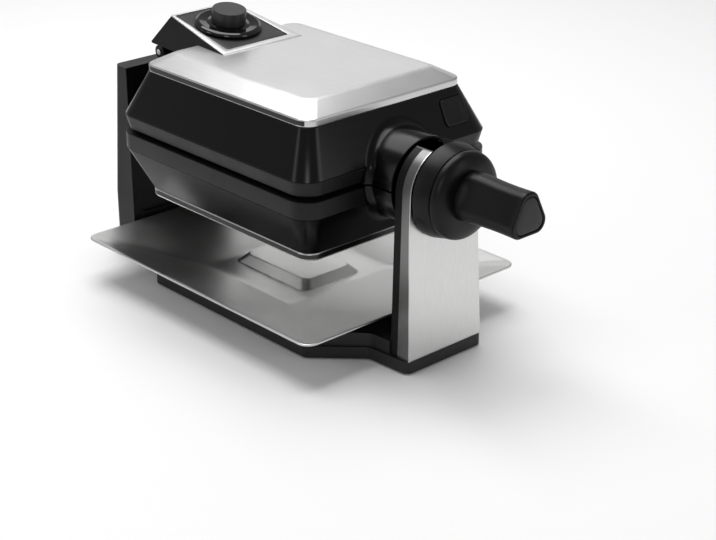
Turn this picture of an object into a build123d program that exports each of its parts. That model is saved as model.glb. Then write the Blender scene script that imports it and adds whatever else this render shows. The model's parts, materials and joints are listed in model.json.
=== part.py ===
from build123d import *
import os
from math import atan2, cos, degrees, radians, sin, sqrt, tan

os.makedirs("parts", exist_ok=True)

# A table-top waffle maker whose cooking unit turns over on a front post and a rear tower.
# Millimetres, +Z up, front of the machine towards -Y. The origin is under the middle of the machine.

# ---- Cooking unit ----
unit_width = 200.0
unit_depth = 238.0
unit_corner = 18.0
axis_height = 144.0
band_gap = 3.6
upper_band_height = 11.8
lower_band_height = 13.8
band_taper = 2.5
band_wall = 11.5
housing_height = 36.5
housing_inset = 17.0
housing_wall = 2.5
flange_height = 2.5
cover_sheet = 1.0
cover_lip = 5.6
cover_rise = 9.6
cover_bevel = 16.8
cover_corner = 8.0

# ---- Cooking plates and heaters ----
plate_gap = 0.6
plate_clearance = 1.2
plate_thickness = 16.5
well_depth = 13.5
well_margin = 6.5
well_corner = 7.0
well_taper = 12.0
stud_columns = 8
stud_rows = 5
stud_share = 0.5
stud_height = 10.5
stud_taper = 14.0
carrier_sheet = 1.0
carrier_gap = 0.3
carrier_wall_gap = 1.4
notch_gap = 0.1
heater_rod = 6.5
heater_inset = 24.0
heater_bend = 18.0
reflector_gap = 1.0
reflector_lip = 3.0
reflector_inset = 4.0
thermostat_radius = 9.0
screw_radius = 1.6
screw_head_radius = 2.6
screw_head = 2.0
screw_head_height = 1.4
screw_length = 14.0
screw_hole_gap = 0.4
screw_tip_gap = 0.5
thread_clearance = 0.05

# ---- Trunnions, post and handle ----
boss_radius = 36.0
boss_reach = 25.0
boss_wall = 3.5
boss_floor = 5.0
boss_root = 12.0
boss_gap = 1.6
journal_radius = 13.2
journal_split = 0.6
journal_end_gap = 0.8
running_gap = 0.5
liner_wall = 1.2
post_face = 46.0
post_lean = 4.0
post_lean_top = 115.0
post_half_foot = 39.6
post_rear = 29.5
post_sheet = 1.0
post_reach = 5.0
post_hollow_side = 7.0
post_hollow_top = 34.0
post_hollow_half = 24.0
post_hollow_front = 4.0
post_hollow_back = 3.0
flange_edge = 37.0
hub_gap = 2.3
hub_back_radius = 37.8
hub_radius = 34.8
hub_middle_share = 0.45
hub_middle_scale = 0.84
hub_front_scale = 0.6
hub_pocket_room = 0.5
hub_rim = 15.0
hub_dome = 10.0
spigot = 14.0
spigot_depth = 8.0
spigot_clearance = 0.2
grip_end = 132.5
grip_side = 19.0
grip_apex = 20.5
grip_foot = 15.5
grip_round = 8.5
grip_taper = 0.94
grip_lift = 2.0
grip_top_share = 0.32
end_cap_gap = 0.4
bolt_end = 32.0
bolt_clearance = 0.6
cap_inset = 2.2
cap_depth = 3.0
bolt_radius = 2.5

# ---- Control box ----
box_half = 41.5
box_front = unit_depth - 71.0
box_slope_end = unit_depth + 10.0
box_slope_rise = 14.2
box_rear = unit_depth + 34.0
box_rear_drop = 26.8
box_side_taper = 0.07
box_side_lean = 0.24
box_reach = unit_depth + 62.0
box_wall = 2.5
box_hollow_rise = 9.0
box_opening_depth = 12.0
box_inset = 1.8
box_heel = 1.0
frame_rise = 1.0
frame_border = 6.0
frame_side = 2.2
panel_front_half = 32.5
panel_rear_half = 30.0
frame_round = 2.0
panel_sheet = 2.0
panel_ledge = 0.8
panel_inset = 1.2
panel_recess = 0.5
panel_fit = 0.2
knob_offset = -2.7
knob_along = 43.0
knob_radius = 14.5
knob_height = 11.0
knob_round = 1.2
skirt_radius = 28.4
skirt_height = 4.2
skirt_gap = 0.6
shaft_radius = 3.0
shaft_gap = 0.35
control_radius = 14.0
control_depth = 10.0
board_sheet = 1.6
board_side_gap = 9.5
board_rear_gap = 16.0

# ---- Lid hinge and rear bearing ----
hinge_y = unit_depth + 30.0
hinge_height = axis_height + 44.0
knuckle_radius = 6.0
pin_radius = 2.5
pin_clearance = 0.06
lid_knuckle_half = 20.0
arm_inner = 20.6
arm_outer = 32.0
arm_root = 18.0
washer_height = 1.5
sector_steps = 12
arm_front = unit_depth + 3.0
arm_rear = unit_depth + 32.0
web_height = 6.0
rear_journal_radius = 12.0
rear_journal_bore = 8.0
rear_journal_end = unit_depth + 52.5
bush_clearance = 0.08
bush_wall = 4.0
bush_length = 7.0
bush_flange = 3.0
bush_flange_width = 1.5
stop_outer = 24.0
stop_inner = 16.6
stop_front = unit_depth + 37.4
stop_pin_radius = 2.5
stop_margin = 1.0
retainer_wall = 3.0
retainer_width = 1.6
turn_range = 180.0

# ---- Push buttons that free the cooking plates ----
button_centre = 64.5
button_width = 25.0
button_length = 22.0
button_corner = 4.0
button_drop = 18.5
button_proud = 2.6
button_gap = 0.5
button_hole_depth = 8.0
stem_radius = 3.5
stem_length = 6.0
catch_width = 14.0
catch_height = 8.0
catch_room = 10.0
catch_sheet = 2.0

# ---- Rear tower ----
tower_half = 61.5
tower_front = unit_depth + 39.0
tower_top = axis_height + 33.5
tower_depth = 17.0
tower_foot_depth = 28.0
tower_knee = 60.0
tower_wall = 2.5
tower_corner = 6.0
recess_half = 55.5
recess_depth = 3.0
recess_foot = 42.5
recess_top = axis_height + 24.0
recess_corner = 8.0
panel_half = 48.0
panel_foot = 45.0
panel_corner = 6.0
window_depth = 8.0
window_fit = 0.25
panel_top = axis_height + 21.0
gland_radius = 6.5
gland_bore = 3.6
gland_height = 32.0
gland_offset = 34.0
gland_length = 9.0
gland_collar = 2.5
terminal_offset = 5.0
terminal_pitch = 10.0
terminal_back = 4.0
terminal_width = 11.0
terminal_height = 12.0
terminal_hole = 2.0

# ---- Base ----
base_lift = 1.5
skirt_top = 11.5
base_top = 23.0
base_wall = 2.5
wiring_half = 20.0
wiring_margin = 6.0
wiring_depth = 9.0
tier_inset = 2.0
foot_front = 50.5
foot_half = 41.5
foot_half_rear = 44.0
flare_start = 10.0
base_half = 80.4
base_side_end = unit_depth - 17.0
base_corner = 9.0
front_corner_share = 0.7
floor_sheet = 2.0
floor_fit = 0.3
floor_lift = 3.0
boss_post_radius = 4.0
pad_radius = 7.5
pad_height = 2.9

# ---- Drip tray ----
tray_half = 116.0
tray_front = -18.6
tray_rear = unit_depth + 35.0
tray_rim = 39.0
tray_corner = 11.0
tray_floor_corner_share = 0.6
tray_sheet = 0.8
tray_hem = 1.6
tray_hem_height = 1.8
tray_floor = 24.2
tray_floor_half = 55.0
tray_floor_front = 73.0
tray_floor_rear = unit_depth - 58.0
tray_pad_half = 31.0
tray_pad_front = 82.0
tray_pad_rear = unit_depth - 66.0
tray_pad_height = 7.0
tray_pad_corner = 8.0

# ---- Places that follow from the sizes ----
tower_rear = tower_front + tower_foot_depth
unit_front = (grip_end - tower_rear) / 2
upper_band_foot = axis_height + band_gap / 2
upper_band_top = upper_band_foot + upper_band_height
lower_band_top = axis_height - band_gap / 2
lower_band_foot = lower_band_top - lower_band_height
upper_eaves = upper_band_top + housing_height
lower_eaves = lower_band_foot - housing_height
lid_lip = upper_eaves + cover_lip
lid_top = lid_lip + cover_rise
flat_inset = housing_inset + cover_bevel
plate_back = axis_height + plate_gap / 2 + plate_thickness
plate_corner = unit_corner / 2
reflector_top = plate_back + heater_rod + reflector_gap + carrier_sheet
slope_angle = degrees(atan2(box_slope_rise, box_slope_end - box_front))
slope_length = sqrt(box_slope_rise**2 + (box_slope_end - box_front) ** 2)
frame_foot = lid_top + frame_rise
box_foot = frame_foot + box_slope_rise - box_rear_drop - box_heel
panel_middle = slope_length / 2 + (frame_border - frame_side) / 2
panel_length = slope_length - frame_border - frame_side
box_spread = box_half + 8.0
wall_angle = degrees(atan2(housing_inset, housing_height))
carrier_inset = band_wall + carrier_gap
carrier_room = carrier_inset - carrier_wall_gap - housing_wall / cos(radians(wall_angle))
carrier_top = upper_band_top + carrier_room / tan(radians(wall_angle))
well_long = unit_width - 2 * (band_wall + plate_clearance + well_margin)
well_deep = (unit_depth - 2 * (band_wall + plate_clearance) - 3 * well_margin) / 2


def save(name, shape):
    """Write one sub-part, with the machine's middle at the origin."""
    solids = shape.solids()
    moved = [Pos(0, unit_front, 0) * solid for solid in solids]
    body = moved[0] if len(moved) == 1 else Compound(children=moved)
    body.label = name
    export_step(body, f"parts/{name}.step")


def outline(inset, height, corner=unit_corner):
    """The unit's rounded outline, drawn in by inset, at a height."""
    radius = max(corner, 1.0)
    face = RectangleRounded(unit_width - 2 * inset, unit_depth - 2 * inset, radius)
    return Pos(0, unit_depth / 2, height) * face


def prism(inset, low, high, corner=unit_corner):
    """A straight-sided block on the unit's outline."""
    return extrude(outline(inset, low, corner), high - low)


def taper(low, low_inset, high, high_inset, low_corner=unit_corner, high_corner=unit_corner):
    """A block on the unit's outline whose four walls lean."""
    low_face = outline(low_inset, low, low_corner)
    high_face = outline(high_inset, high, high_corner)
    return loft([low_face, high_face], ruled=True)


def box(x0, x1, y0, y1, z0, z1):
    """A block between two corners."""
    return Pos((x0 + x1) / 2, (y0 + y1) / 2, (z0 + z1) / 2) * Box(x1 - x0, y1 - y0, z1 - z0)


def rod(x, z, radius, y0, y1):
    """A round bar along Y."""
    return Pos(x, (y0 + y1) / 2, z) * Rot(90, 0, 0) * Cylinder(radius, y1 - y0)


def post(x, y, radius, z0, z1):
    """A round bar along Z."""
    return Pos(x, y, (z0 + z1) / 2) * Cylinder(radius, z1 - z0)


def side_profile(points, half_width):
    """A block from an outline of (y, z) points, as wide as twice half_width."""
    face = make_face(Polyline(*[(0, y, z) for y, z in points], close=True))
    return extrude(face, half_width, dir=(1, 0, 0), both=True)


def front_profile(points, y0, y1):
    """A block from an outline of (x, z) points between two depths."""
    face = make_face(Polyline(*[(x, y0, z) for x, z in points], close=True))
    return extrude(face, y1 - y0, dir=(0, 1, 0))


def half(shape, upper, gap):
    """The part of a shape above or below the turning axis, less half the gap."""
    far = 400.0
    if upper:
        return shape & box(-far, far, -far, far, axis_height + gap / 2, far)
    return shape & box(-far, far, -far, far, -far, axis_height - gap / 2)


def mirrored(shape):
    """The same shape on the other side of the turning axis."""
    return mirror(shape, about=Plane.XY.offset(axis_height))


# ---- Cooking unit: bands, housings, covers ----
def band_ring(low, low_inset, high, high_inset):
    ring = taper(low, low_inset, high, high_inset)
    return ring - prism(band_wall, low - 1, high + 1, unit_corner / 2)


def housing(low, high):
    """A leaning plastic shell, open at both ends, with an inward flange at its foot."""
    shell = taper(low, 0, high, housing_inset, unit_corner, cover_corner + 4)
    thick = housing_wall / cos(radians(wall_angle))
    core = taper(low, thick, high, housing_inset + thick, unit_corner - 2, cover_corner + 2)
    ring = prism(thick - 0.2, low, low + flange_height) - prism(
        band_wall, low - 1, low + flange_height + 1, unit_corner / 2
    )
    return (shell - core) + (ring & taper(low, 0, high, housing_inset))


def corner_places(inset_x, inset_y):
    """Four places, one near each corner of the unit."""
    x = unit_width / 2 - inset_x
    return [(sx * x, y) for sx in (-1, 1) for y in (inset_y, unit_depth - inset_y)]


frame_screw_places = corner_places(6.2, 34.0)


def frame_screws(grow=0.0):
    """Screws up through the housing's flange into the band, for the upper half."""
    group = []
    for x, y in frame_screw_places:
        head_low = upper_band_top + flange_height
        head = post(x, y, screw_head_radius + grow, head_low, head_low + screw_head)
        shaft_foot = upper_band_top - upper_band_height + 3
        group.append(head + post(x, y, screw_radius + grow, shaft_foot, head_low))
    return group


# ---- Cooking plates ----
def waffle_plate():
    """The upper cooking plate: two wells of square studs, facing down."""
    inset = band_wall + plate_clearance
    face_z = axis_height + plate_gap / 2
    plate = prism(inset, face_z, plate_back, plate_corner)
    floor_z = face_z + well_depth
    first = inset + well_margin + well_deep / 2
    for number in range(2):
        middle = first + number * (well_deep + well_margin)
        mouth = Pos(0, middle, face_z) * RectangleRounded(well_long, well_deep, well_corner)
        plate -= extrude(mouth, well_depth, taper=well_taper)
        pitch_x = (well_long - 2 * well_depth * tan(radians(well_taper))) / stud_columns
        pitch_y = (well_deep - 2 * well_depth * tan(radians(well_taper))) / stud_rows
        studs = Pos(0, middle, floor_z) * Rot(180, 0, 0) * GridLocations(
            pitch_x, pitch_y, stud_columns, stud_rows
        )
        size = stud_share * min(pitch_x, pitch_y)
        for place in studs:
            plate += extrude(place * Rectangle(size, size), stud_height, taper=stud_taper / 2)
    return plate


def plate_carrier():
    """The pressed pan that holds the heater and the plate, for the upper half."""
    inner = carrier_inset + carrier_sheet
    pan = prism(carrier_inset, plate_back + carrier_gap, carrier_top, plate_corner)
    pan -= prism(inner, plate_back - 1, carrier_top - carrier_sheet, plate_corner - carrier_sheet)
    reach = button_width / 2 + button_gap
    low = reflector_top + notch_gap
    notch_end = carrier_inset + catch_room
    notch = box(button_centre - reach, button_centre + reach, 0, notch_end, low, carrier_top + 1)
    return pan - notch


def heater():
    """The bent tubular element over the plate, with its two cold ends at the rear."""
    height = plate_back + heater_rod / 2
    x = unit_width / 2 - band_wall - heater_inset
    near = band_wall + heater_inset
    far = unit_depth - near
    route = FilletPolyline(
        (-x / 2, far, height),
        (-x, far, height),
        (-x, near, height),
        (x, near, height),
        (x, far, height),
        (x / 2, far, height),
        radius=heater_bend,
    )
    section = Plane(origin=route @ 0, z_dir=route % 0) * Circle(heater_rod / 2)
    return sweep(section, path=route)


def reflector():
    """The bright sheet that turns the heat back at the plate."""
    low = reflector_top - carrier_sheet
    inset = band_wall + plate_clearance + reflector_inset
    sheet = prism(inset, low, reflector_top, plate_corner)
    lip = prism(inset, low - reflector_lip, low, plate_corner)
    lip -= prism(inset + carrier_sheet, low - reflector_lip - 1, low + 1, plate_corner - carrier_sheet)
    return sheet + lip


def thermostat():
    """The button thermostat clamped against the back of the plate."""
    middle = unit_depth / 2
    body = post(0, middle, thermostat_radius, plate_back, plate_back + heater_rod - 0.5)
    strap = thermostat_radius + 5.0
    return body + box(-3, 3, middle - strap, middle + strap, plate_back, plate_back + carrier_sheet)


# ---- Steel covers ----
def cover_outside(grow=0.0):
    """The outside of a steel cover: an upright lip, then a bevel up to a flat."""
    lip = prism(housing_inset + grow, upper_eaves, lid_lip, cover_corner + 4)
    top = Pos(0, unit_depth / 2, lid_top - grow) * RectangleRounded(
        unit_width - 2 * flat_inset, unit_depth - 2 * flat_inset, cover_corner
    )
    foot = outline(housing_inset + grow, lid_lip, cover_corner + 4)
    return lip + loft([foot, top], ruled=True)


def shelled_cover():
    inner = cover_outside(cover_sheet)
    return cover_outside() - inner - prism(
        housing_inset + cover_sheet, upper_eaves - 1, upper_eaves + 0.01, cover_corner + 3
    )


def on_slope(along, lift=0.0, x=0.0):
    """A plane on the sloping panel: along it from its front edge, and lifted off it."""
    lean = radians(slope_angle)
    y = box_front + along * cos(lean) - lift * sin(lean)
    z = frame_foot + along * sin(lean) + lift * cos(lean)
    return Plane(origin=(x, y, z), x_dir=(1, 0, 0), z_dir=(0, -sin(lean), cos(lean)))


def beyond_side(side, inset=0.0):
    """Everything outside one of the control box's leaning side faces."""
    outward = Vector(side, box_side_taper, box_side_lean).normalized()
    middle = Vector(side * box_half, box_front, frame_foot) - outward * inset
    face = Plane(origin=middle, z_dir=outward) * Rectangle(box_reach, box_reach)
    return extrude(face, box_reach)


def within_sides(solid, inset=0.0):
    return solid - beyond_side(-1, inset) - beyond_side(1, inset)


def panel_face(lift, shrink=0.0):
    """The panel's outline on the slope, narrower at its upper end."""
    near = frame_border + shrink
    far = slope_length - frame_side - shrink
    corners = [
        (-panel_front_half + shrink, near),
        (panel_front_half - shrink, near),
        (panel_rear_half - shrink, far),
        (-panel_rear_half + shrink, far),
    ]
    face = make_face(Polyline(*corners, close=True))
    return on_slope(0, lift) * fillet(face.vertices(), frame_round)


def box_outside(thick=0.0):
    """The control box under the steel border, or the hollow inside its walls."""
    lean = radians(slope_angle)
    back = atan2(box_rear - box_slope_end, box_rear_drop)
    down = (cover_sheet + thick) / cos(lean)
    inward = thick / cos(back)
    front = box_front + box_inset
    rise = tan(lean)
    drop = (box_rear - box_slope_end) / box_rear_drop
    # where the lowered top meets the drawn-in back
    top_rear = box_slope_end - (inward - down * drop) / (1 + rise * drop)
    points = [
        (front, box_foot + thick),
        (front, frame_foot + (front - box_front) * rise - down),
        (top_rear, frame_foot + (top_rear - box_front) * rise - down),
        (box_rear - inward - thick * drop, box_foot + box_heel + thick),
        (box_rear - inward - box_heel - thick * drop, box_foot + thick),
    ]
    return within_sides(side_profile(points, box_spread), thick)


def frame_ring():
    """The steel border that carries the lid up over the control box's edge."""
    outer = on_slope(slope_length / 2, -cover_sheet) * Rectangle(2 * box_spread, slope_length)
    return within_sides(extrude(outer - panel_face(-cover_sheet), cover_sheet))


def frame_riser():
    """The fold that lifts the lid's flat up to the border."""
    front = box_front + box_inset - 0.2
    points = [
        (box_front - 1.2, lid_top - cover_sheet),
        (box_front - 1.2, lid_top),
        (box_front, frame_foot),
        (front, frame_foot + (front - box_front) * tan(radians(slope_angle))),
        (front, lid_top - cover_sheet),
    ]
    return within_sides(side_profile(points, box_spread))


def upper_cover():
    """The lid's steel skin with the border of the control panel."""
    cut = box(-box_spread, box_spread, box_front - 1.0, unit_depth + 60, upper_eaves - 5, lid_top + 60)
    return (shelled_cover() - within_sides(cut)) + frame_ring() + frame_riser()


def control_box():
    """The black walls of the control box, open to the lid in front and under the panel."""
    floor_end = unit_depth - housing_inset - box_wall
    inner_floor = box(-box_spread, box_spread, box_front, floor_end, box_foot - 1, box_foot + box_wall + 1)
    front_end = box_front + box_inset + box_wall
    inner_front = box(-box_spread, box_spread, box_front, front_end, box_foot - 1, lid_top + box_hollow_rise)
    opening_length = panel_length - 2 * panel_ledge
    opening = on_slope(panel_middle, -box_opening_depth) * Rectangle(2 * box_spread, opening_length)
    hollow = inner_floor + inner_front + extrude(opening, 2 * box_opening_depth)
    return box_outside() - box_outside(box_wall) - within_sides(hollow, box_wall)


def control_panel():
    """The matt panel under the border, with a hole for the knob's shaft."""
    length = panel_length - 2 * panel_inset
    face = on_slope(panel_middle, -cover_sheet - panel_sheet) * Rectangle(2 * box_spread, length)
    panel = within_sides(extrude(face, panel_sheet), box_wall + panel_fit)
    panel += extrude(panel_face(-cover_sheet, panel_fit), cover_sheet - panel_recess)
    hole = on_slope(knob_along, -10, knob_offset) * Circle(shaft_radius + shaft_gap)
    return panel - extrude(hole, 20)


def knob_bar(radius, low, high):
    return extrude(on_slope(knob_along, low, knob_offset) * Circle(radius), high - low)


skirt_low = skirt_gap
skirt_high = skirt_low + skirt_height


def knob():
    cap = extrude(on_slope(knob_along, skirt_high, knob_offset) * Circle(knob_radius), knob_height)
    cap = fillet(cap.edges().sort_by(Axis((0, 0, 0), tuple(on_slope(0).z_dir)))[-1], knob_round)
    return cap


def knob_skirt():
    return knob_bar(skirt_radius, skirt_low, skirt_high)


def control_shaft():
    return knob_bar(shaft_radius, -cover_sheet - panel_sheet - control_depth, skirt_low)


def temperature_control():
    top = -cover_sheet - panel_sheet
    body = knob_bar(control_radius, top - control_depth, top)
    return body - knob_bar(shaft_radius + shaft_gap, top - control_depth - 1, top + 1)


def control_board():
    """The printed board in the tail of the control box."""
    low = box_foot + box_wall + 1.0
    half_width = box_half - board_side_gap
    return box(-half_width, half_width, unit_depth - 20, box_rear - board_rear_gap, low, low + board_sheet)


# ---- Trunnions and handle ----
def front_cup():
    """The round cup on the unit's front and the journal that runs through the post."""
    cup = rod(0, axis_height, boss_radius, -boss_reach, boss_root)
    cup -= rod(0, axis_height, boss_radius - boss_wall, -boss_reach - 1, -boss_floor)
    journal = rod(0, axis_height, journal_radius, -hub_back + 0.01, -boss_floor + 1)
    return cup + journal


hub_back = post_face + hub_gap
unit_solid_upper = taper(upper_band_foot, band_taper, upper_band_top, 0) + taper(
    upper_band_top, 0, upper_eaves, housing_inset, unit_corner, cover_corner + 4
)
unit_solid_lower = prism(0, lower_band_foot, lower_band_top) + mirrored(
    taper(2 * axis_height - lower_band_foot, 0, 2 * axis_height - lower_eaves, housing_inset,
          unit_corner, cover_corner + 4)
)


def upper_trunnion():
    cup = half(front_cup(), True, boss_gap) - unit_solid_upper
    cup -= box(-60, 60, 0.0, 60, axis_height - 1, upper_band_foot)
    journal = half(rod(0, axis_height, journal_radius, -hub_back, -boss_floor), True, journal_split)
    low = axis_height + journal_split / 2
    tongue = box(-spigot / 2, spigot / 2, -hub_back - spigot_depth, -hub_back, low, axis_height + spigot / 2)
    return cup + journal + tongue


def lower_trunnion():
    cup = half(front_cup(), False, boss_gap) - unit_solid_lower
    cup -= box(-60, 60, 0.0, 60, lower_band_top, axis_height + 1)
    reach = rod(0, axis_height, journal_radius, -hub_back + journal_end_gap, -boss_floor)
    return cup + half(reach, False, journal_split)


def grip_section(y, share):
    """The grip's rounded upright triangle, at a depth."""
    plane = Plane(origin=(0, y, axis_height + grip_lift), x_dir=(1, 0, 0), z_dir=(0, -1, 0))
    points = [(-grip_side, -grip_foot), (grip_side, -grip_foot), (grip_side * grip_top_share, grip_apex),
              (-grip_side * grip_top_share, grip_apex)]
    face = make_face(Polyline(*points, close=True))
    face = fillet(face.vertices(), grip_round)
    return plane * scale(face, share)


hub_face = hub_back + hub_rim
hub_front = hub_face + hub_dome


def hub_disc(depth, radius):
    plane = Plane(origin=(0, -depth, axis_height), x_dir=(1, 0, 0), z_dir=(0, -1, 0))
    return plane * Circle(radius)


def handle_hub():
    """The handle's round root: a tapering rim, then a dome that runs down into the grip."""
    rim = loft([hub_disc(hub_back, hub_back_radius), hub_disc(hub_face, hub_radius)], ruled=True)
    middle = hub_disc(hub_face + hub_dome * hub_middle_share, hub_radius * hub_middle_scale)
    front = hub_disc(hub_front, hub_radius * hub_front_scale)
    dome = loft([hub_disc(hub_face, hub_radius), middle, front], ruled=True)
    half_width = spigot / 2 + spigot_clearance
    deep = hub_back + spigot_depth + hub_pocket_room
    low = axis_height + journal_split / 2 - spigot_clearance
    pocket = box(-half_width, half_width, -deep, -hub_back, low, axis_height + half_width)
    bore = rod(0, axis_height + spigot / 4, bolt_radius + thread_clearance, -hub_front - 1, -hub_back)
    return rim + dome - pocket - bore


def handle_grip():
    grip = loft([grip_section(-hub_front, 1.0), grip_section(-grip_end + cap_depth, grip_taper)], ruled=True)
    bore = rod(0, axis_height + spigot / 4, bolt_radius + thread_clearance, -grip_end + 30, -hub_front + 1)
    end = extrude(grip_section(-grip_end + cap_depth, grip_taper), cap_depth)
    face = offset(grip_section(-grip_end + cap_depth, grip_taper), -cap_inset, kind=Kind.INTERSECTION)
    seat = extrude(face, cap_depth + 1)
    return grip + (end - seat) - bore


def handle_end_cap():
    seat = grip_section(-grip_end + cap_depth, grip_taper)
    cap = offset(seat, -cap_inset - end_cap_gap, kind=Kind.INTERSECTION)
    return extrude(cap, cap_depth - end_cap_gap)


def handle_bolt():
    z = axis_height + spigot / 4
    return rod(0, z, bolt_radius, -grip_end + bolt_end, -hub_back - spigot_depth - bolt_clearance)


# ---- Push buttons ----
def wall_plane(drop, lift=0.0, x=0.0):
    """A plane on the upper housing's leaning front wall: drop down from its top edge."""
    lean = radians(wall_angle)
    y = housing_inset - drop * sin(lean) - lift * cos(lean)
    z = upper_eaves - drop * cos(lean) + lift * sin(lean)
    return Plane(origin=(x, y, z), x_dir=(1, 0, 0), z_dir=(0, -cos(lean), sin(lean)))


def release_button():
    """A square push pad with its stem and the catch that frees the plate."""
    pad = wall_plane(button_drop, -button_proud, button_centre) * RectangleRounded(
        button_width, button_length, button_corner
    )
    body = extrude(pad, 2 * button_proud)
    foot = wall_plane(button_drop, -stem_length, button_centre)
    stem = extrude(foot * Circle(stem_radius), stem_length)
    catch = extrude(foot * Rectangle(catch_width, catch_height), catch_sheet)
    return body + stem + catch


def button_opening():
    hole = wall_plane(button_drop, -button_hole_depth, button_centre) * RectangleRounded(
        button_width + 2 * button_gap, button_length + 2 * button_gap, button_corner
    )
    return extrude(hole, 20)


# ---- Rear hinge carrier ----
def hinge_knuckle(x0, x1, radius=knuckle_radius):
    return Pos((x0 + x1) / 2, hinge_y, hinge_height) * Rot(0, 90, 0) * Cylinder(radius, x1 - x0)


def rear_hinge_carrier():
    """The bracket behind the lower half: arms up to the lid's hinge, a journal into the tower."""
    block = box(-arm_outer, arm_outer, unit_depth - arm_root, arm_rear, axis_height - 30, lower_band_top)
    block -= unit_solid_lower
    web_top = axis_height + rear_journal_radius + web_height
    web = box(-arm_outer, arm_outer, arm_front, arm_rear, lower_band_top, web_top)
    arms = block + web
    for side in (-1, 1):
        x0, x1 = sorted((side * arm_inner, side * arm_outer))
        arms += box(x0, x1, hinge_y - knuckle_radius, arm_rear, axis_height, hinge_height)
        arms += hinge_knuckle(x0, x1)
    arms -= hinge_knuckle(-60, 60, pin_radius)
    journal = rod(0, axis_height, rear_journal_radius, arm_rear - 4, rear_journal_end)
    sector = stop_sector()
    arms = arms + journal + sector
    return arms - rod(0, axis_height, rear_journal_bore, arm_front - 1, rear_journal_end + 1)


stop_track = (stop_outer + stop_inner) / 2
pin_angle = degrees(stop_pin_radius / stop_track)
sector_span = 360 - turn_range - 2 * pin_angle - 2 * stop_margin


def stop_sector():
    """The raised arc that meets the stop pin at each end of the turn."""
    ring = rod(0, axis_height, stop_outer, arm_rear - 1, stop_front)
    ring -= rod(0, axis_height, stop_inner, arm_rear - 2, stop_front + 1)
    start = 270 - pin_angle - stop_margin - sector_span
    points = [(0.0, 0.0)]
    for step in range(sector_steps + 1):
        angle = radians(start + sector_span * step / sector_steps)
        points.append((60 * cos(angle), 60 * sin(angle)))
    wedge = front_profile([(x, axis_height + z) for x, z in points], arm_rear - 1, stop_front)
    return (ring & wedge) + rod(0, axis_height, stop_outer, arm_rear - 1, arm_rear + washer_height)


def stop_pin():
    z = axis_height - stop_track
    return rod(0, z, stop_pin_radius, arm_rear + 2.0, tower_front + recess_depth)


def hinge_pin():
    return hinge_knuckle(-arm_outer - 1.0, arm_outer + 1.0, pin_radius)


def lid_hinge_bracket():
    """The lid's own knuckle, hung under the control box."""
    half_width = lid_knuckle_half
    knuckle = hinge_knuckle(-half_width, half_width)
    neck = box(-half_width, half_width, hinge_y - knuckle_radius, hinge_y, hinge_height, box_foot)
    body = knuckle + neck
    return body - hinge_knuckle(-60, 60, pin_radius + pin_clearance)


def journal_retainer():
    end = rear_journal_end + retainer_width
    ring = rod(0, axis_height, rear_journal_radius + retainer_wall, rear_journal_end, end)
    return ring - rod(0, axis_height, rear_journal_bore, rear_journal_end - 1, end + 1)


# ---- Rear tower ----
def tower_outside(grow=0.0):
    top = tower_top - grow
    points = [
        (tower_front + grow, base_top),
        (tower_front + grow, top),
        (tower_front + tower_depth - grow, top),
        (tower_rear - grow, tower_knee),
        (tower_rear - grow, base_top),
    ]
    return side_profile(points, tower_half - grow)


def tower_block():
    body = tower_outside()
    side_edges = body.edges().filter_by(lambda e: abs(abs(e.center().X) - tower_half) < 0.1)
    rear_edges = side_edges.filter_by(lambda e: e.center().Y > tower_front + tower_depth - 1)
    upright = rear_edges.filter_by(lambda e: abs(e.tangent_at(0.5).Z) > 0.5)
    return fillet(upright, tower_corner)


def rounded_plate(half_width, low, high, corner, y0, y1):
    middle = Plane(origin=(0, y0, (low + high) / 2), x_dir=(1, 0, 0), z_dir=(0, 1, 0))
    return extrude(middle * RectangleRounded(2 * half_width, high - low, corner), y1 - y0)


def rear_window(grow=0.0):
    front = tower_front + window_depth
    low = panel_foot + grow
    return rounded_plate(panel_half - grow, low, panel_top - grow, panel_corner, front, tower_rear + 5)


def rear_tower_shell():
    shell = tower_block()
    shell -= rounded_plate(recess_half, recess_foot, recess_top, recess_corner,
                           tower_front - 1, tower_front + recess_depth)
    inner = tower_outside(tower_wall)
    front_wall = box(-200, 200, tower_front, tower_front + recess_depth + tower_wall, 0, 400)
    inner_front = tower_front + recess_depth + tower_wall
    inner_half = tower_half - tower_wall
    foot = box(-inner_half, inner_half, inner_front, tower_rear - tower_wall, base_top - 1, base_top + 8)
    shell -= (inner - front_wall) + foot
    bush_seat = rear_journal_radius + bush_clearance + bush_wall
    shell -= rod(0, axis_height, bush_seat, tower_front, tower_front + 12)
    shell -= rear_window()
    shell -= rod(gland_offset, gland_height, gland_radius, tower_rear - 8, tower_rear + 1)
    return shell - stop_pin()


def rear_tower_cover():
    wall = tower_block() - Pos(0, -tower_wall, 0) * tower_outside()
    return wall & rear_window(window_fit)


def rear_bearing_bush():
    start = tower_front + recess_depth - 1.0
    outer = rod(0, axis_height, rear_journal_radius + bush_clearance + bush_wall, start, start + bush_length)
    flange_start = tower_front + recess_depth + tower_wall
    flange_end = flange_start + bush_flange_width
    flange_radius = rear_journal_radius + bush_wall + bush_flange
    outer += rod(0, axis_height, flange_radius, flange_start, flange_end)
    bore = rear_journal_radius + bush_clearance
    return outer - rod(0, axis_height, bore, start - 1, start + bush_length + 3)


def cord_gland():
    inner_end = tower_rear - gland_length
    body = rod(gland_offset, gland_height, gland_radius, inner_end, tower_rear)
    body += rod(gland_offset, gland_height, gland_radius + gland_collar, inner_end, tower_rear - tower_wall)
    return body - rod(gland_offset, gland_height, gland_bore, tower_rear - 20, tower_rear + 1)


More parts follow.
